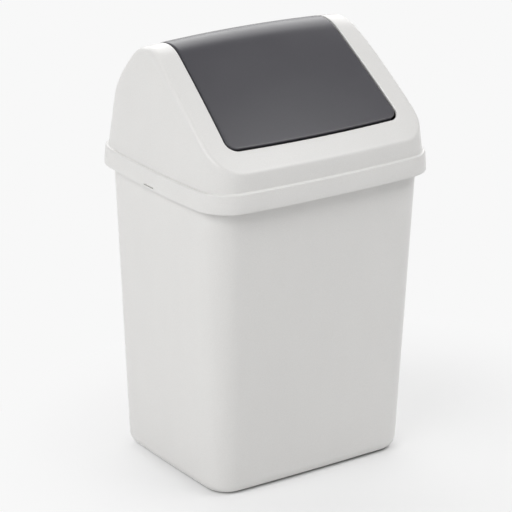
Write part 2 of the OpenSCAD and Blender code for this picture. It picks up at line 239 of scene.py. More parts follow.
def bowed_outline(width, depth, corner, bow, inset=0.0):
    """Points and outward normals once round an outline. A size may differ from column to column."""
    width, depth, corner, inset = (np.broadcast_to(v, STEP.shape) for v in (width, depth, corner, inset))
    side_r, end_r = sag_radius(depth, bow), sag_radius(width, bow)
    a, b = width / 2 - side_r, depth / 2 - end_r
    to_side, to_end, gap = side_r - corner, end_r - corner, np.hypot(a, b)
    along = (to_side ** 2 - to_end ** 2 + gap ** 2) / (2 * gap)
    across = np.sqrt(to_side ** 2 - along ** 2)
    corner_x = a - (along * a + across * b) / gap
    corner_y = (along * b - across * a) / gap
    first, last = np.arctan2(corner_y, corner_x - a), np.arctan2(corner_y - b, corner_x)
    corner_turn = first + (STEP - 1) * (last - first)
    end_turn = last + (STEP - 2) * (math.pi / 2 - last)
    turn = np.where(STEP < 1, STEP * first, np.where(STEP < 2, corner_turn, end_turn))
    normal = np.stack([np.cos(turn), np.sin(turn)], 1)
    radius = np.where(STEP < 1, side_r, np.where(STEP < 2, corner, end_r)) - inset
    centre = np.stack([np.where(STEP < 1, a, np.where(STEP < 2, corner_x, 0)),
                       np.where(STEP < 1, 0, np.where(STEP < 2, corner_y, b))], 1)
    return (centre + radius[:, None] * normal) * SIGN, normal * SIGN


def at_height(points, z):
    """Plan points lifted to a height."""
    return np.column_stack([points, np.broadcast_to(z, len(points))])


def unit(vectors):
    """Vectors of length one."""
    return vectors / np.linalg.norm(vectors, axis=-1, keepdims=True)


# ---- The hood's form: a side profile of three tangent arcs over a leaning outline ----

def touching_centre(centre, radius, through, big, turn):
    """Centre of an arc of radius big through a point that touches a circle lying inside it."""
    reach, gap = big - radius, np.linalg.norm(through - centre)
    along = (reach ** 2 - big ** 2 + gap ** 2) / (2 * gap)
    u = (through - centre) / gap
    return centre + along * u + turn * math.sqrt(reach ** 2 - along ** 2) * np.array([-u[1], u[0]])


class HoodForm:
    """The outer shape that the hood and the flap share, and the opening between them."""

    def __init__(self, hood, opening, pivot):
        self.hood, self.opening_sizes = hood, opening
        self.base = hood.skirt_low + hood.skirt_height
        inset = hood.skirt_draft + hood.ledge
        self.width, self.depth = hood.skirt_width - 2 * inset, hood.skirt_depth - 2 * inset
        self.corner, self.lean = hood.skirt_corner - inset, math.tan(hood.lean)
        self.crown = np.array([hood.crown_y, self.base + hood.crown_rise - hood.crown_radius])
        front, rear = np.array([[-self.depth / 2, self.base + hood.front_rise], [self.depth / 2, self.base]])
        self.slope = touching_centre(self.crown, hood.crown_radius, front, hood.slope_radius, 1)
        self.back = touching_centre(self.crown, hood.crown_radius, rear, hood.back_radius, -1)
        self.pivot = np.array([pivot.y, self.base + hood.crown_rise - pivot.drop])
        # arc length along the profile, from the front wall to the ledge behind
        self.table_y = np.linspace(-self.depth / 2, self.depth / 2, TABLE_POINTS)
        z = self.profile(self.table_y)
        self.table_s = np.concatenate([[0], np.cumsum(np.hypot(np.diff(self.table_y), np.diff(z)))])
        self.place_opening()

    def outline(self, z, inset=0.0):
        """The walls' outline at a height."""
        up = np.maximum(0, z - self.base)
        corner = self.corner + self.hood.corner_growth * up
        return bowed_outline(self.width - 2 * self.lean * up, self.depth, corner, self.hood.bow, inset)

    def arc(self, y, inset=0.0):
        """Centre y, centre z and radius of the profile's arc at y."""
        h, slope, crown, back = self.hood, self.slope, self.crown, self.back
        front, rear = (crown[0] + unit(crown - other)[0] * (h.crown_radius - inset) for other in (slope, back))

        def pick(on_slope, on_crown, on_back):
            return np.where(y < front, on_slope, np.where(y < rear, on_crown, on_back))

        return (pick(slope[0], crown[0], back[0]), pick(slope[1], crown[1], back[1]),
                pick(h.slope_radius, h.crown_radius, h.back_radius) - inset)

    def profile(self, y, inset=0.0):
        """Height of the profile at y, at the sides."""
        centre_y, centre_z, radius = self.arc(y, inset)
        return centre_z + np.sqrt(radius ** 2 - np.minimum(abs(y - centre_y), radius) ** 2)

    def tilt(self, y):
        """Angle of the profile's normal from upright, positive to the rear."""
        centre_y, _, radius = self.arc(y)
        return np.arcsin(np.clip((y - centre_y) / radius, -1, 1))

    def bow(self, x):
        """Rise of the crown and the slope at x."""
        return self.hood.crown_bow * (1 - (2 * x / self.width) ** 2)

    def top(self, x, y):
        """The point of the top's outer face over (x, y)."""
        return np.stack([x, y, self.profile(y) + self.bow(x)], -1)

    def top_normal(self, x, y):
        """Outward normal of the top at (x, y)."""
        tilt = self.tilt(y)
        slant = 8 * self.hood.crown_bow * x / self.width ** 2
        return unit(np.stack([slant * np.cos(tilt), np.sin(tilt), np.cos(tilt)], -1))

    def along(self, y):
        """Arc length of the profile up to y."""
        return np.interp(y, self.table_y, self.table_s)

    def across(self, s):
        """The y at an arc length."""
        return np.interp(s, self.table_s, self.table_y)

    def edge_radius(self, y):
        """Rounding of the top edge: small on the slope, large on the crown and the back."""
        h = self.hood
        k = np.clip((y - h.crown_y + h.crown_radius) / h.crown_radius, 0, 1)
        return h.slope_edge + (h.crown_edge - h.slope_edge) * k * k * (3 - 2 * k)

    def meeting(self, inset, z):
        """Where the inset walls meet the inset top, found by stepping down from z."""
        rounds = 8
        for _ in range(rounds):
            plan, _ = self.outline(z, inset)
            z = self.profile(plan[:, 1], inset) + self.bow(plan[:, 0])
        return at_height(plan, z)

    def place_opening(self):
        """Works out the two flat patterns of the opening: one on the slope, one towards the rear edge."""
        h, o, crown_top = self.hood, self.opening_sizes, self.base + self.hood.crown_rise

        def half(z, border):
            """Half of the opening's width at a height."""
            return self.width / 2 - self.lean * (z - self.base) - border

        self.front_y = -self.depth / 2 + o.front_border
        self.front_z = float(self.profile(self.front_y)) + h.crown_bow
        self.slope_angle = -float(self.tilt(self.front_y / 2))
        rear_z = crown_top - o.rear_drop
        rear_y = self.back[0] + math.sqrt(h.back_radius ** 2 - (rear_z - self.back[1]) ** 2)
        self.rear_angle = math.atan2(self.pivot[1] - rear_z, rear_y - self.pivot[0])
        self.rear_reach = math.hypot(rear_y - self.pivot[0], rear_z - self.pivot[1])
        reach = ((h.crown_y - self.front_y) * math.cos(self.slope_angle)
                 + (crown_top - self.front_z) * math.sin(self.slope_angle))
        back = (self.rear_reach - (h.crown_y - self.pivot[0]) * math.cos(self.rear_angle)
                + (crown_top - self.pivot[1]) * math.sin(self.rear_angle))
        self.open_crown = half(crown_top, o.crown_border)
        run_on = h.crown_bow + h.crown_edge
        self.patterns = {-1: (half(self.front_z, o.border), reach, o.front_bow, reach + run_on),
                         1: (half(rear_z, o.crown_border), back, 0.0, back + run_on)}

    def run(self, end, y, x):
        """Distance from the opening's front (-1) or rear (1) edge to the top's point over (x, y)."""
        z = self.profile(y) + self.bow(x)
        if end < 0:
            lean, ahead, up = self.slope_angle, y - self.front_y, z - self.front_z
            return ahead * math.cos(lean) + up * math.sin(lean)
        lean, ahead, up = self.rear_angle, y - self.pivot[0], z - self.pivot[1]
        return self.rear_reach - ahead * math.cos(lean) + up * math.sin(lean)

    def y_of_run(self, end, distance, x):
        """The y on the top at a distance from the front or rear edge."""
        middle = self.hood.crown_y
        y = self.table_y[self.table_y < middle] if end < 0 else self.table_y[self.table_y > middle][::-1]
        lean = self.slope_angle if end < 0 else self.rear_angle
        return np.interp(distance - self.bow(x) * math.sin(lean), self.run(end, y, self.width / 2), y)

    def side_line(self, end, side, gap):
        """Start, slope and corner of a pattern's straight side."""
        half, reach, bow, last = self.patterns[end]
        narrowing = (half - self.open_crown) / reach
        r = self.opening_sizes.corner - min(side, gap)
        turn = math.atan(narrowing)
        x, v = half - side - r, gap + r + bow
        start = (x + r * math.cos(turn), v + r * math.sin(turn))
        return start, (half - side - narrowing * last - start[0]) / (last - start[1]), (x, v, r, turn, bow)

    def opening(self, side, gap):
        """Plan points of the opening's outline on the top, drawn in at its sides and by a gap at its ends."""
        x, y = np.zeros(len(STEP)), np.zeros(len(STEP))
        lines = {end: self.side_line(end, side, gap) for end in (-1, 1)}
        for end, (start, _, (corner_x, corner_v, r, turn, bow)) in lines.items():
            here = SIGN[:, 1] == end
            k = 3 - STEP
            around = turn + (STEP - 1) * (-math.pi / 2 - turn)
            x_here = np.where(STEP < 2, corner_x + r * np.cos(around), corner_x * k)
            v_here = np.where(STEP < 2, corner_v + r * np.sin(around), gap + bow * k * k)
            x_here = np.where(STEP < 1, start[0], x_here)
            v_here = np.where(STEP < 1, start[1], v_here)
            y_here = self.y_of_run(end, v_here, x_here)
            y_here = np.where(STEP < 1, y_here * STEP, y_here)
            x[here], y[here] = x_here[here], y_here[here]
        sides = STEP < 1
        edges = [start[0] + slope * (self.run(end, y, x) - start[1])
                 for end, (start, slope, _) in lines.items()]
        blend = self.opening_sizes.blend
        soft = (edges[0] + edges[1] + np.hypot(edges[0] - edges[1], blend)) / 2
        fade = np.clip(abs(edges[0] - edges[1]) / (6 * blend), 0, 1)
        x = np.where(sides, soft + (np.maximum(*edges) - soft) * fade, x)
        return np.stack([x * SIGN[:, 0], y], 1)

    def sunk(self, plan, depth):
        """Points on the top, sunk along the way in which the flap's edge swings past the hood's."""
        point, tilt = self.top(plan[:, 0], plan[:, 1]), self.tilt(plan[:, 1])
        way = np.minimum(tilt, self.rear_angle)
        down = np.stack([np.zeros(len(way)), np.sin(way), np.cos(way)], 1)
        return point - down * (depth / np.cos(tilt - way))[:, None]


def quarter_turn(start, corner, end, steps):
    """Rows of a rounding that leaves start and reaches end, tangent to the lines that meet at corner."""
    turns = [math.pi / 2 * i / steps for i in range(steps + 1)]
    return [corner + (start - corner) * (1 - math.sin(t)) + (end - corner) * (1 - math.cos(t)) for t in turns]


def between(first, last, steps):
    """Rows between two rows, without either."""
    return [first + (last - first) * i / steps for i in range(1, steps)]


# ---- Modelling, as by hand ----

def start_edit(piece):
    """Opens one piece in edit mode with all of it selected."""
    bpy.context.view_layer.objects.active = piece
    bpy.ops.object.mode_set(mode="EDIT")
    bpy.ops.mesh.select_mode(type="EDGE")
    bpy.ops.mesh.select_all(action="SELECT")


def place_selected(piece, points):
    """Puts the selected vertices at the given points, in their own order."""
    mesh = bmesh.from_edit_mesh(piece.data)
    chosen = [v for v in mesh.verts if v.select]
    if len(chosen) != len(points):
        raise RuntimeError(f"{piece.name}: {len(chosen)} vertices are selected for {len(points)} points")
    for vertex, point in zip(chosen, points):
        vertex.co = point
    bmesh.update_edit_mesh(piece.data)


def select_vertices(piece, wanted):
    """Selects the vertices that wanted says yes to, and the edges and faces between them."""
    bpy.ops.mesh.select_all(action="DESELECT")
    mesh = bmesh.from_edit_mesh(piece.data)
    for vertex in mesh.verts:
        vertex.select = wanted(vertex)
    mesh.select_flush(True)
    bmesh.update_edit_mesh(piece.data)


def extrude_rows(piece, rows):
    """Extrudes the selected edge loop once for each row, and places it."""
    for row in rows:
        bpy.ops.mesh.extrude_edges_move()
        place_selected(piece, row)


def end_edit():
    """Merges doubled vertices, turns all faces outward and leaves edit mode."""
    bpy.ops.mesh.select_all(action="SELECT")
    bpy.ops.mesh.remove_doubles(threshold=0.005 * MM)
    bpy.ops.mesh.normals_make_consistent(inside=False)
    bpy.ops.object.mode_set(mode="OBJECT")


def drawn_up(name, rows):
    """A piece that is drawn up row by row from a circle with a vertex for each column."""
    deselect()
    bpy.ops.mesh.primitive_circle_add(vertices=len(rows[0]), fill_type="NOTHING")
    piece = bpy.context.object
    piece.name = piece.data.name = name
    start_edit(piece)
    place_selected(piece, rows[0])
    extrude_rows(piece, rows[1:])
    return piece


def deselect():
    """Leaves no object selected."""
    bpy.ops.object.select_all(action="DESELECT")


def select_only(piece):
    """Makes one piece the selected and the active one."""
    deselect()
    piece.select_set(True)
    bpy.context.view_layer.objects.active = piece


def apply_modifier(piece, kind, **settings):
    """Adds a modifier to a piece and applies it."""
    select_only(piece)
    modifier = piece.modifiers.new(kind.title(), kind)
    for key, value in settings.items():
        setattr(modifier, key, value)
    bpy.ops.object.modifier_apply(modifier=modifier.name)


def combine(piece, other, operation):
    """Unites a piece with another mesh, or cuts the other away, and deletes the other."""
    apply_modifier(piece, "BOOLEAN", operation=operation, solver="EXACT", object=other)
    bpy.data.objects.remove(other)


def finish_piece(piece, body, material, replaced):
    """Smooths a finished piece, gives it its plastic and ties it to the frame."""
    select_only(piece)
    bpy.ops.object.shade_smooth_by_angle(angle=SMOOTH)
    piece.data.materials.clear()
    piece.data.materials.append(material)
    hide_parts(replaced)
    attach(piece, body)


def just_added(name):
    """The object that was added last, under its name and with its place and size put into its mesh."""
    piece = bpy.context.object
    piece.name = name
    bpy.ops.object.transform_apply(location=True, rotation=True, scale=True)
    return piece


def mirrored(piece):
    """A piece on the right side, and its mirror image on the left."""
    apply_modifier(piece, "MIRROR", use_axis=(True, False, False))
    return piece


def bar(name, x, span, radius, pivot):
    """A round bar on the pivot line, from x to x + span."""
    deselect()
    bpy.ops.mesh.primitive_cylinder_add(vertices=BAR_SIDES, radius=radius, depth=span,
                                        location=(x + span / 2, *pivot), rotation=(0, math.pi / 2, 0))
    return just_added(name)


def hangers(name, x, thickness, radius, pivot, roof, edge):
    """A plate on each side that hangs from a roof and is round at the pivot line."""
    piece = bar(name, x, thickness, radius, pivot)
    start_edit(piece)
    bpy.ops.mesh.select_mode(type="FACE")
    bpy.ops.mesh.select_all(action="DESELECT")
    mesh = bmesh.from_edit_mesh(piece.data)
    for face in mesh.faces:
        face.select = face.calc_center_median().z > pivot[1] and face.normal.z > 0.01
    bmesh.update_edit_mesh(piece.data)
    bpy.ops.mesh.extrude_region_move()
    mesh = bmesh.from_edit_mesh(piece.data)
    for vertex in mesh.verts:
        if vertex.select:
            vertex.co.z = roof(vertex.co.x, vertex.co.y)
    bmesh.update_edit_mesh(piece.data)
    end_edit()
    apply_modifier(piece, "BEVEL", width=edge, segments=2, limit_method="ANGLE", angle_limit=math.radians(60))
    return mirrored(piece)


def bars(name, x, span, radius, pivot):
    """A round bar on the pivot line on each side."""
    return mirrored(bar(name, x, span, radius, pivot))


def blocks(name, low, high, edge):
    """A block with rounded edges between two corners on the right side, and its mirror image."""
    low, high = np.array(low), np.array(high)
    deselect()
    bpy.ops.mesh.primitive_cube_add(size=1, location=(low + high) / 2, scale=high - low)
    piece = just_added(name)
    apply_modifier(piece, "BEVEL", width=edge, segments=3)
    return mirrored(piece)


# ---- Plastics ----

def linear(hex_colour):
    """Linear red, green, blue and alpha of an sRGB hex colour."""
    parts = [int(hex_colour[i:i + 2], 16) / 255 for i in (1, 3, 5)]
    return [c / 12.92 if c <= 0.04045 else ((c + 0.055) / 1.055) ** 2.4 for c in parts] + [1.0]


def add_node(tree, kind, settings=None, inputs=None):
    """Adds a shader node with its settings. An input that is a socket is linked, any other is a value."""
    made = tree.nodes.new("ShaderNode" + kind)
    for key, value in (settings or {}).items():
        setattr(made, key, value)
    for key, value in (inputs or {}).items():
        if isinstance(value, bpy.types.NodeSocket):
            tree.links.new(value, made.inputs[key])
        else:
            made.inputs[key].default_value = value
    return made


def noise(tree, place, size, detail, **more):
    """The value of a noise whose spots are about size across."""
    inputs = {"Vector": place, "Scale": 1 / size, "Detail": detail, **more}
    return add_node(tree, "TexNoise", inputs=inputs).outputs["Fac"]


def soft_step(tree, value, low, high, first=0.0, last=1.0):
    """A smooth change from first to last while the value goes from low to high."""
    inputs = {"Value": value, "From Min": low, "From Max": high, "To Min": first, "To Max": last}
    return add_node(tree, "MapRange", {"interpolation_type": "SMOOTHSTEP"}, inputs).outputs["Result"]


def mixed_shader(tree, share, first, last):
    """A mix of two shaders: all of the first one at a share of 0, all of the last one at 1."""
    return add_node(tree, "MixShader", inputs={0: share, 1: first.outputs[0], 2: last.outputs[0]})


def two_stops(tree, value, first, last):
    """A colour ramp between two colours."""
    ramp = add_node(tree, "ValToRGB", inputs={"Fac": value})
    for stop, stop_colour in zip(ramp.color_ramp.elements, (first, last)):
        stop.color = stop_colour
    return ramp


def moulded_plastic(name, hex_colour, roughness, peel_size, tone_spread):
    """Injection-moulded polypropylene or acetal: an even, slightly waxy gloss that breaks up softly. The
    mould's polish leaves a faint orange peel, the melt's flow leaves a faint change of tone up the walls,
    and handling leaves patches that are a touch rougher."""
    flow_size, flow_stretch = 18 * MM, 0.3   # the melt flows up the walls, in streaks some 60 mm long
    grain_size, flow_share = 0.8 * MM, 0.75  # under the flow's tone there is a fine grain
    peel_depth = 0.01 * MM                   # the polish is drawn coarser than real so that it shows
    # the soft patches that handling leaves; all roughness stays over 0.275, since the denoiser draws a
    # line where a surface's roughness crosses that value
    touched_size, touched_spread = 40 * MM, 0.02
    material = bpy.data.materials.new(name)
    material.use_nodes = True
    tree = material.node_tree
    tree.nodes.clear()
    place = add_node(tree, "TexCoord").outputs["Object"]
    flow_place = add_node(tree, "Mapping", inputs={"Vector": place, "Scale": (1, 1, flow_stretch)})
    flow = noise(tree, flow_place.outputs[0], flow_size, 2.0, Roughness=0.4)
    grain = noise(tree, place, grain_size, 1.0)
    both = add_node(tree, "Mix", inputs={"Factor": flow_share, "A": flow, "B": grain})
    dark, light = ([min(1.0, c * share) for c in linear(hex_colour)[:3]] + [1.0]
                   for share in (1 - tone_spread, 1 + tone_spread))
    tone = two_stops(tree, both.outputs["Result"], dark, light)
    tone.color_ramp.elements[0].position, tone.color_ramp.elements[1].position = 0.3, 0.7
    peel = noise(tree, place, peel_size, 0.0)
    bump = add_node(tree, "Bump", inputs={"Height": peel, "Strength": 1.0, "Distance": peel_depth})
    touched = noise(tree, place, touched_size, 1.0)
    gloss = soft_step(tree, touched, 0.2, 0.8, roughness - touched_spread, roughness + touched_spread)
    shader = add_node(tree, "BsdfPrincipled", inputs={
        "Base Color": tone.outputs["Color"], "Roughness": gloss, "Normal": bump.outputs["Normal"],
        "IOR": 1.49, "Specular IOR Level": 0.5})
    add_node(tree, "OutputMaterial", inputs={"Surface": shader.outputs["BSDF"]})
    return material


def plastic(kind):
    """One of the can's plastics, made once: its name, colour, roughness, size of peel and spread of tone."""
    looks = bpy.context.scene.can_plastics
    recipe = {
        "pale": ("pale_moulded_polypropylene", looks.pale, looks.pale_roughness, 12 * MM, 0.022),
        "dark": ("dark_moulded_polypropylene", looks.dark, looks.dark_roughness, 12 * MM, 0.05),
        "pin": ("moulded_acetal", looks.pin, looks.pin_roughness, 3 * MM, 0.05),
    }[kind]
    return bpy.data.materials.get(recipe[0]) or moulded_plastic(*recipe)


# ---- Operators ----

class BIN_OT_bucket(bpy.types.Operator):
    """Draws the bucket up from its bottom edge to its rim and down again inside, and sets it on corner feet"""
    bl_idname = "mesh.can_bucket"
    bl_label = "Bucket"

    def execute(self, context):
        b, h = context.scene.can_bucket, context.scene.can_hood

        def wall(z, inset=0.0):
            k = z / b.height
            return at_height(bowed_outline(b.base_width + (b.rim_width - b.base_width) * k,
                                           b.base_depth + (b.rim_depth - b.base_depth) * k,
                                           b.base_corner + (b.rim_corner - b.base_corner) * k,
                                           b.base_bow + (b.rim_bow - b.base_bow) * k, inset)[0], z)

        def rim(z, inset=0.0):
            inset += h.skirt_draft + h.skirt_wall + b.lip_gap
            return at_height(bowed_outline(h.skirt_width, h.skirt_depth, h.skirt_corner, h.bow, inset)[0], z)

        def bottom_edge(radius, start, floor):
            foot = math.acos(1 - b.foot_height / radius)
            turns = [0, foot / 2, *np.linspace(foot, math.pi / 2, ROUND_STEPS + 1)]
            return [wall(floor + radius * (1 - math.cos(t)), start + radius * (1 - math.sin(t))) for t in turns]

        small = 0.35 * MM  # rounding of the edges of the lip and the rim
        under, low = b.height - b.flange, b.height - b.lip_height
        outer, lip = wall(under), rim(under)
        # the lip is thinner at the sides, where the rim has less room
        room = np.linalg.norm(lip - outer, axis=1, keepdims=True)
        most = 0.75
        inner = lip + (outer - lip) * np.minimum(most, b.lip / room)
        drop = np.array([0, 0, low - under])
        rows = bottom_edge(b.bottom_edge, 0, 0)
        rows += [wall(z) for z in np.linspace(b.bottom_edge, under - small, BUCKET_ROWS)[1:]]
        rows += [outer + (inner - outer) * 0.3, inner, inner + drop, (inner + lip) / 2 + drop]
        rows += quarter_turn(rim(low, small), rim(low), rim(low + small), FINE_STEPS)
        rows += quarter_turn(rim(b.height - small), rim(b.height), rim(b.height, small), RIM_STEPS)
        rows += quarter_turn(wall(b.height, b.wall - small), wall(b.height, b.wall),
                             wall(b.height - small, b.wall), RIM_STEPS)
        inside = bottom_edge(b.bottom_edge - b.wall, b.wall, b.foot_height + b.wall)
        rows += [wall(z, b.wall) for z in np.linspace(b.height - small, inside[-1][0, 2], BUCKET_ROWS)[1:-1]]
        rows += inside[::-1]
        piece = drawn_up("bucket_shell", rows)
        bpy.ops.mesh.edge_face_add()
        columns = len(STEP)
        select_vertices(piece, lambda v: v.index < columns)
        bpy.ops.mesh.edge_face_add()
        self.cut_feet(piece, b)
        end_edit()
        finish_piece(piece, "bucket", plastic("pale"), "body")
        return {"FINISHED"}

    def cut_feet(self, piece, b):
        """Lifts the bottom by the feet's height between the four corners, with a short ramp to each foot."""
        ramp, hair = 0.35 * MM, 0.001 * MM
        for axis, start in ((0, b.foot_x), (1, b.foot_y)):
            for place in (-start - ramp, -start, start, start + ramp):
                select_vertices(piece, lambda v: v.co.z < b.foot_height + hair)
                at, way = [0, 0, 0], [0, 0, 0]
                at[axis], way[axis] = place, 1
                bpy.ops.mesh.bisect(plane_co=at, plane_no=way)
        mesh = bmesh.from_edit_mesh(piece.data)
        for v in mesh.verts:
            between_feet = abs(v.co.x) < b.foot_x + ramp / 2 or abs(v.co.y) < b.foot_y + ramp / 2
            if v.co.z < b.foot_height and between_feet:
                v.co.z = b.foot_height
        bmesh.update_edit_mesh(piece.data)


class BIN_OT_hood(bpy.types.Operator):
    """Draws the hood up from its skirt over the ledge, the walls and the rounded edge to the opening, and
    back inside, then adds the pivot lugs, the catch bumps and the catch slits"""
    bl_idname = "mesh.can_hood"
    bl_label = "Hood"

    def execute(self, context):
        scene = context.scene
        h, o, p = scene.can_hood, scene.can_opening, scene.can_pivots
        form = HoodForm(h, o, p)
        top = form.base
        small = 0.3 * MM         # rounding of the skirt's bottom edges
        catch_edge, slit_edge = 0.15 * MM, 0.2 * MM
        catch_reach = 0.4 * MM   # of a catch bump past the skirt's inner face
        low_part, low_draft = 6 * MM, 0.34 * h.skirt_draft  # the skirt's lower part is a little steeper

        def skirt(z, inset):
            return at_height(bowed_outline(h.skirt_width, h.skirt_depth, h.skirt_corner, h.bow, inset)[0], z)

        # the upper edge: a ball rolls along the walls and the top at once
        guess = form.meeting(0.0, form.base + h.crown_rise / 2)
        radius = form.edge_radius(guess[:, 1])
        core = form.meeting(radius, guess[:, 2])
        _, side = form.outline(core[:, 2])
        out = unit(np.column_stack([side, form.lean * abs(side[:, 0])]))
        up = form.top_normal(core[:, 0], core[:, 1])
        ways = [unit(out * (1 - i / ROUND_STEPS) + up * i / ROUND_STEPS) for i in range(ROUND_STEPS + 1)]
        rounding = [core + radius[:, None] * way for way in ways]
        floor = top + h.ledge_fillet
        for row in rounding:
            row[:, 2] = np.maximum(row[:, 2], floor)
        foot = at_height(form.outline(top)[0], floor)
        walls = [foot] + between(foot, rounding[0], HOOD_ROWS)
        wall_ways = [out] * len(walls)

        # the border, from the rounded edge to the opening's edge
        first, edge = rounding[-1], form.opening(-o.hood_edge, -o.hood_edge)
        first_s, edge_s = form.along(first[:, 1]), form.along(edge[:, 1])
        border, border_ways = [], []
        for i in range(1, BORDER_STEPS + 1):
            k = i / BORDER_STEPS
            x, y = first[:, 0] * (1 - k) + edge[:, 0] * k, form.across(first_s * (1 - k) + edge_s * k)
            border.append(form.top(x, y))
            border_ways.append(form.top_normal(x, y))
        corner = form.opening(0.0, 0.0)
        lip = quarter_turn(border[-1], form.sunk(corner, 0.0), form.sunk(corner, o.hood_edge), EDGE_STEPS)[1:]
        inner_corner = form.sunk(corner, h.wall)

        outside = walls + rounding[1:] + border
        ways = wall_ways + ways[1:] + border_ways
        inside = [row - h.wall * way for row, way in zip(outside, ways)][:-1]
        inner_foot = inside[0].copy()
        inner_foot[:, 2] = top - h.ledge_thickness
        ledge = h.skirt_draft + h.skirt_round
        rows = quarter_turn(skirt(h.skirt_low, small), skirt(h.skirt_low, 0), skirt(h.skirt_low + small, 0),
                            FINE_STEPS)
        rows += [skirt(h.skirt_low + low_part, low_draft)]
        rows += quarter_turn(skirt(top - h.skirt_round, h.skirt_draft), skirt(top, h.skirt_draft),
                             skirt(top, ledge), LEDGE_STEPS)
        wall_foot = at_height(form.outline(top)[0], top)
        fillet = at_height(form.outline(top, -h.ledge_fillet)[0], top)
        rows += quarter_turn(fillet, wall_foot, foot, EDGE_STEPS)[:-1]
        rows += outside + lip + [inner_corner] + inside[::-1] + [inner_foot]
        rows += [skirt(top - h.ledge_thickness, h.skirt_wall + h.skirt_draft)]
        rows += [skirt(h.skirt_low + small, h.skirt_wall), skirt(h.skirt_low, h.skirt_wall - small), rows[0]]
        piece = drawn_up("hood_shell", rows)
        end_edit()

        def roof(x, y):
            return float(form.profile(np.array(y), h.wall / 2)) + float(form.bow(x))

        past = MM  # how far a cutter runs past a face
        lug_x = form.open_crown + p.lug_offset
        combine(piece, hangers("lugs", lug_x, p.lug, p.lug_radius, form.pivot, roof, p.edge), "UNION")
        combine(piece, bars("bores", lug_x - past, p.lug + 2 * past, p.bore, form.pivot), "DIFFERENCE")
        face, half = h.skirt_width / 2, h.slit_length / 2
        slit = h.skirt_low + h.slit_up
        catch = slit + h.slit_height
        tip = face - h.skirt_draft - h.skirt_wall - catch_reach
        combine(piece, blocks("catches", (tip, -half, catch),
                              (face - h.skirt_wall / 2, half, catch + h.catch_height), catch_edge), "UNION")
        combine(piece, blocks("slits", (face - 2 * h.skirt_wall, -half, slit),
                              (face + h.skirt_wall, half, catch), slit_edge), "DIFFERENCE")
        finish_piece(piece, "cover", plastic("pale"), "hood")
        return {"FINISHED"}


class BIN_OT_flap(bpy.types.Operator):
    """Lays the flap as a sheet over the hood's form, draws its edge round and down into a lip, closes it
    underneath and adds the ears and bosses that hold the pivot pins"""
    bl_idname = "mesh.can_flap"
    bl_label = "Flap"

    def execute(self, context):
        scene = context.scene
        o, p = scene.can_opening, scene.can_pivots
        form = HoodForm(scene.can_hood, o, p)
        columns = len(STEP)
        # the sheet's corners lie in the middle of the flap's round corners
        rear_left, front_left = QUADRANT + END + CORNER // 2, 2 * QUADRANT + SIDE + CORNER // 2
        front_right = 3 * QUADRANT + END + CORNER // 2
        wide, long = CORNER + 2 * END, CORNER + 2 * SIDE
        i, j = np.meshgrid(np.arange(wide + 1), np.arange(long + 1))
        front, rear = front_left + i, rear_left - i
        left, right = front_left - j, (front_right + j) % columns
        u, v = (i / wide)[..., None], (j / long)[..., None]

        def sheet(ring):
            """A sheet that fills a ring, evenly between its four sides."""
            flat = np.column_stack([ring[:, 0], form.along(ring[:, 1])])
            a, b, c, d = (flat[k] for k in (front_left, front_right, rear_left, rear_left - wide))
            inner = ((1 - v) * flat[front] + v * flat[rear] + (1 - u) * flat[left] + u * flat[right]
                     - ((1 - u) * (1 - v) * a + u * (1 - v) * b + (1 - u) * v * c + u * v * d))
            return inner[..., 0].ravel(), form.across(inner[..., 1]).ravel()

        rim = (i == 0) | (i == wide) | (j == 0) | (j == long)
        around = np.where(j == 0, front, np.where(j == long, rear, np.where(i == 0, left, right)))[rim]

        edge, lip = o.flap_edge, o.flap_lip
        small = 0.35 * MM  # rounding of the lip's edges
        start = form.opening(o.side_gap + edge, o.end_gap + edge)
        outline = form.opening(o.side_gap, o.end_gap)
        inset = form.opening(o.side_gap + lip, o.end_gap + lip)
        in_small = form.opening(o.side_gap + small, o.end_gap + small)
        inner = form.opening(o.side_gap + lip + small, o.end_gap + lip + small)
        deep = o.flap_lip_height
        first = form.top(start[:, 0], start[:, 1])
        rows = quarter_turn(first, form.sunk(outline, 0.0), form.sunk(outline, edge), EDGE_STEPS)[1:]
        rows += quarter_turn(form.sunk(outline, deep - small), form.sunk(outline, deep),
                             form.sunk(in_small, deep), FINE_STEPS)
        rows += [form.sunk(inset, deep), form.sunk(inset, o.flap_wall + small), form.sunk(inner, o.flap_wall)]

        deselect()
        bpy.ops.mesh.primitive_grid_add(x_subdivisions=wide, y_subdivisions=long)
        piece = context.object
        piece.name = piece.data.name = "flap_shell"
        start_edit(piece)
        place_selected(piece, form.top(*sheet(start)))
        bpy.ops.mesh.select_all(action="DESELECT")
        bpy.ops.mesh.select_non_manifold()
        extrude_rows(piece, [row[around] for row in rows])
        bpy.ops.mesh.select_all(action="DESELECT")
        bpy.ops.mesh.primitive_grid_add(x_subdivisions=wide, y_subdivisions=long)
        x, y = sheet(inner)
        under = form.top(x, y) - o.flap_wall * form.top_normal(x, y)
        under[rim.ravel()] = rows[-1][around]
        place_selected(piece, under)
        end_edit()

        def roof(x, y):
            return float(form.profile(np.array(y), o.flap_wall / 2)) + float(form.bow(x))

        ear_x = form.open_crown - o.side_gap - p.ear_inset - p.ear
        lug_x = form.open_crown + p.lug_offset
        ears = hangers("ears", ear_x, p.ear, p.ear_radius, form.pivot, roof, p.edge)
        middle = ear_x + p.ear / 2
        combine(ears, bars("bosses", middle, lug_x - p.boss_gap - middle, p.boss_radius, form.pivot), "UNION")
        combine(piece, ears, "UNION")
        finish_piece(piece, "swing_lid", plastic("dark"), "flap")
        return {"FINISHED"}


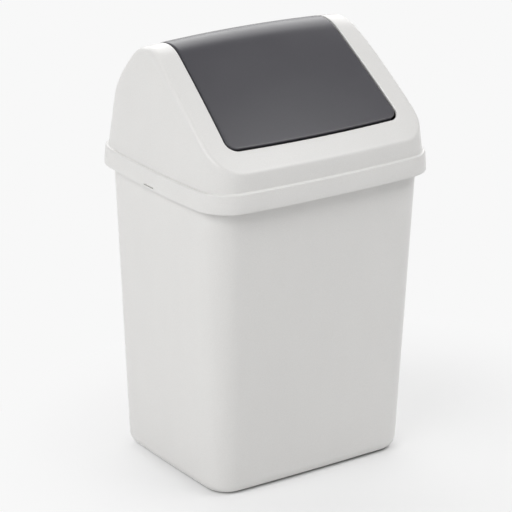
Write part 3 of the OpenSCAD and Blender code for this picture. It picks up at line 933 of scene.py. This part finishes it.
class BIN_OT_pins(bpy.types.Operator):
    """Gives the two pivot pins of the frame their moulded plastic"""
    bl_idname = "mesh.can_pins"
    bl_label = "Pivot pins"

    def execute(self, context):
        for name in ("left_pivot_pin", "right_pivot_pin"):
            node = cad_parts[name]
            node.data.materials.clear()
            node.data.materials.append(plastic("pin"))
        return {"FINISHED"}


class BIN_OT_stage(bpy.types.Operator):
    """Lays the pale floor, hangs the soft lights and sets the camera"""
    bl_idname = "scene.can_stage"
    bl_label = "Stage"

    def execute(self, context):
        self.lay_floor(context)
        self.light(context)
        self.set_camera(context)
        context.scene.view_settings.view_transform = "Standard"
        return {"FINISHED"}

    def lay_floor(self, context):
        """A wide pale disc that the can stands on."""
        deselect()
        bpy.ops.mesh.primitive_circle_add(vertices=96, radius=9, fill_type="NGON")
        floor = context.object
        floor.name = "floor"
        floor.data.materials.append(self.matt_paint(context.scene.can_studio, context.scene.can_bucket))

    def matt_paint(self, studio, bucket):
        """The floor's matt paint. As it is seen, it has a painted contact shadow, a dark paint under the can's
        edge, and beside that it is as it is lit. 25 mm away it is whiter, keeps half of its shadows and is
        lifted by a painted glow; there it is a painted soft shade round the can, a little darker than the
        background, and it fades into the background within 0.3 m, soonest on the left and behind, so the
        painted shade leans to the front and right."""
        contact_reach, shadow_reach = 6 * MM, 25 * MM
        # the fade's centre lies to the front and right of the can, so that the painted shade round it leans
        # that way
        fade_centre, fade_start, fade_end = (0.05, -0.05, 0), 0.08, 0.28
        kept_light, painted_glow = 0.5, 0.43
        material = bpy.data.materials.new("matt_painted_floor")
        material.use_nodes = True
        tree = material.node_tree
        tree.nodes.clear()

        def paint(paint_colour):
            return add_node(tree, "BsdfDiffuse", inputs={"Color": paint_colour})

        def light(strength):
            return add_node(tree, "Emission", inputs={"Color": white, "Strength": strength})

        def worked_out(operation, *inputs):
            return add_node(tree, "VectorMath", {"operation": operation}, dict(enumerate(inputs))).outputs

        white = linear(studio.background)
        # deep is the painted contact shadow: the contact colour, painted on the floor where the shade under the
        # can's edge falls
        lit, deep = paint(linear(studio.floor)), paint(linear(studio.contact))
        thin = paint([kept_light * c for c in white[:3]] + [1])
        # painted glow and painted shade: near the can the floor is half lit and half a painted glow, which
        # together leave a painted soft shade a little darker than the background
        half_lit_and_painted_glow = add_node(tree, "AddShader", inputs={0: thin.outputs[0], 1: light(painted_glow).outputs[0]})
        place = add_node(tree, "TexCoord").outputs["Object"]
        fade = soft_step(tree, worked_out("DISTANCE", place, fade_centre)["Value"], fade_start, fade_end)
        # the distance from the straight parts of the foot's outline, which is `contact` on that outline
        contact = bucket.base_corner - bucket.bottom_edge
        straight = (bucket.base_width / 2 - bucket.base_corner, bucket.base_depth / 2 - bucket.base_corner, 0)
        apart = worked_out("SUBTRACT", worked_out("ABSOLUTE", place)[0], straight)[0]
        apart = worked_out("LENGTH", worked_out("MAXIMUM", apart, (0, 0, 0))[0])["Value"]
        # painted contact shadow: within contact_reach of the foot's outline the seen floor turns to the dark
        # contact paint
        floor_with_painted_contact_shadow = mixed_shader(tree, soft_step(tree, apart, contact, contact + contact_reach), deep, lit)
        beside = mixed_shader(tree, soft_step(tree, apart, contact, contact + shadow_reach), floor_with_painted_contact_shadow, half_lit_and_painted_glow)
        seen = mixed_shader(tree, fade, beside, light(1.0))
        # what gives light is the plain lit paint; what is seen or mirrored carries the painted contact shadow,
        # the painted glow and the painted shade
        surface = mixed_shader(tree, self.seen_or_mirrored(tree), lit, seen)
        add_node(tree, "OutputMaterial", inputs={"Surface": surface.outputs[0]})
        return material

    def seen_or_mirrored(self, tree):
        """1 for what the camera sees, straight or in a gloss or through glass, and 0 for what gives light."""
        path = add_node(tree, "LightPath").outputs

        def either(first, second):
            return add_node(tree, "Math", {"operation": "MAXIMUM"}, {0: first, 1: second}).outputs[0]

        return either(path["Is Camera Ray"], either(path["Is Glossy Ray"], path["Is Transmission Ray"]))

    def light(self, context):
        """A softbox on the left, one behind and one in front on the right, and an even fill from all round."""
        studio = context.scene.can_studio
        aim = Vector((0, 0, 0.2))
        for name, place, size, watts in (("key", (-1.6, -0.4, 1.35), (1.7, 1.0), studio.key),
                                         ("back", (0.75, 1.25, 1.3), (2.2, 1.3), studio.back),
                                         ("front", (0.8, -0.82, 1.65), (1.1, 0.9), studio.front)):
            bpy.ops.object.light_add(type="AREA", location=place)
            lamp = context.object
            lamp.name = name
            lamp.data.shape = "RECTANGLE"
            lamp.data.energy, (lamp.data.size, lamp.data.size_y) = watts, size
            lamp.rotation_euler = (aim - lamp.location).to_track_quat("-Z", "Y").to_euler()
        world = bpy.data.worlds.new("studio")
        context.scene.world = world
        world.use_nodes = True
        tree = world.node_tree
        tree.nodes.clear()
        even = add_node(tree, "Background", inputs={"Color": (1, 1, 1, 1), "Strength": studio.fill})
        # the room is pale up to eye level and grey overhead
        eye_level, overhead = 0.3, 0.75
        way = add_node(tree, "SeparateXYZ", inputs={0: add_node(tree, "TexCoord").outputs["Generated"]})
        height = soft_step(tree, way.outputs["Z"], eye_level, overhead)
        room = two_stops(tree, height, linear(studio.background), linear(studio.ceiling))
        plain = add_node(tree, "Background", inputs={"Color": room.outputs["Color"], "Strength": 1.0})
        surface = mixed_shader(tree, self.seen_or_mirrored(tree), even, plain)
        add_node(tree, "OutputWorld", inputs={"Surface": surface.outputs[0]})

    def set_camera(self, context):
        """The camera stands where the can is seen as in its photograph."""
        s = context.scene.can_studio
        ahead = -np.array([math.sin(s.azimuth) * math.cos(s.elevation),
                           -math.cos(s.azimuth) * math.cos(s.elevation), math.sin(s.elevation)])
        right = unit(np.cross(ahead, [0, 0, 1]))
        down = -np.cross(right, ahead)
        cos, sin = math.cos(s.roll), math.sin(s.roll)
        turn = np.array([[cos, -sin, 0], [sin, cos, 0], [0, 0, 1]])
        axes = turn @ np.array([right, down, ahead])
        place = -axes.T @ np.array([s.shift_right, s.shift_down, s.distance])
        bpy.ops.object.camera_add()
        camera = context.object
        camera.data.lens, camera.data.sensor_width = s.lens, 36
        rows = [[axes[0][k], -axes[1][k], -axes[2][k], place[k]] for k in range(3)]
        camera.matrix_world = Matrix(rows + [[0, 0, 0, 1]])
        context.scene.camera = camera


class BIN_PT_panel(bpy.types.Panel):
    """Lists the steps that build the can, and its colours"""
    bl_idname = "BIN_PT_panel"
    bl_label = "Trash can"
    bl_space_type = "VIEW_3D"
    bl_region_type = "UI"
    bl_category = "Trash can"

    def draw(self, context):
        for step in STEPS:
            self.layout.operator(step.bl_idname)
        for settings in (context.scene.can_plastics, context.scene.can_studio):
            box = self.layout.box()
            for key in settings.__annotations__:
                box.prop(settings, key)


SETTINGS = {"can_bucket": BucketSizes, "can_hood": HoodSizes, "can_opening": OpeningSizes,
            "can_pivots": PivotSizes, "can_plastics": Plastics, "can_studio": Studio}
STEPS = (BIN_OT_bucket, BIN_OT_hood, BIN_OT_flap, BIN_OT_pins, BIN_OT_stage)


def register():
    for settings in SETTINGS.values():
        bpy.utils.register_class(settings)
    for name, settings in SETTINGS.items():
        setattr(bpy.types.Scene, name, PointerProperty(type=settings))
    for made in (*STEPS, BIN_PT_panel):
        bpy.utils.register_class(made)


def unregister():
    for made in (BIN_PT_panel, *reversed(STEPS)):
        bpy.utils.unregister_class(made)
    for name, settings in SETTINGS.items():
        delattr(bpy.types.Scene, name)
        bpy.utils.unregister_class(settings)


def main():
    register()
    bpy.ops.mesh.can_bucket()
    bpy.ops.mesh.can_hood()
    bpy.ops.mesh.can_flap()
    bpy.ops.mesh.can_pins()
    bpy.ops.scene.can_stage()


if __name__ == "__main__":
    main()
